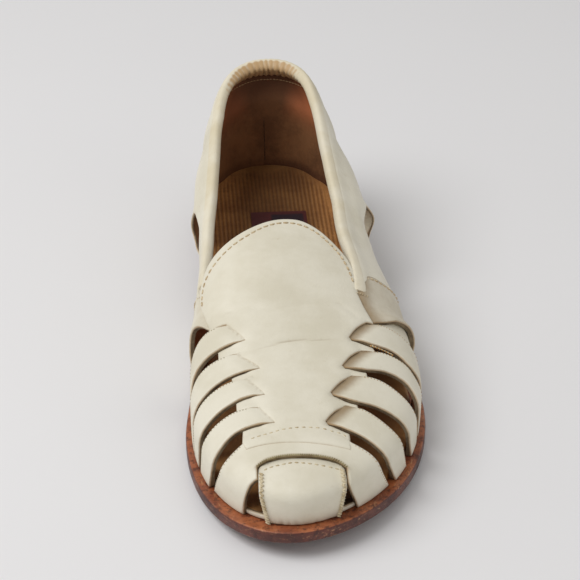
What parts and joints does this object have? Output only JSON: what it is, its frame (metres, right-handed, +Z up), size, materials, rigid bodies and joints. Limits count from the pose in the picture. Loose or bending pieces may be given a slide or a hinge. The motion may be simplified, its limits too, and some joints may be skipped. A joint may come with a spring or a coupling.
{
  "type": "loafer",
  "caption": "Flat slip-on shoe for a left foot: arched vamp panel slit along both sides to take woven side strips, toe band with cut-outs, rolled topline, leather sole with a low heel.",
  "frame": {"origin": "centre of the shoe's box on the ground plane", "axes": "+Z up, the toe points to -Y, the outer side of the foot is +X"},
  "size_m": [0.0966, 0.2743, 0.0764],
  "materials": {
    "outsole_leather": "red-brown veg-tanned sole leather, worn edge",
    "heel_leather": "stacked leather, burnished edge",
    "top_lift_rubber": "matt",
    "insole_leather": "tan, finely ribbed",
    "upper_leather": "cream, soft semi-matt",
    "collar_leather": "cream roll, rubbed tan at the back"
  },
  "bodies": {
    "root": {"outsole": "outsole_leather", "heel": "heel_leather", "top_lift": "top_lift_rubber", "insole": "insole_leather", "upper": "upper_leather", "collar": "collar_leather"}
  },
  "joints": []
}
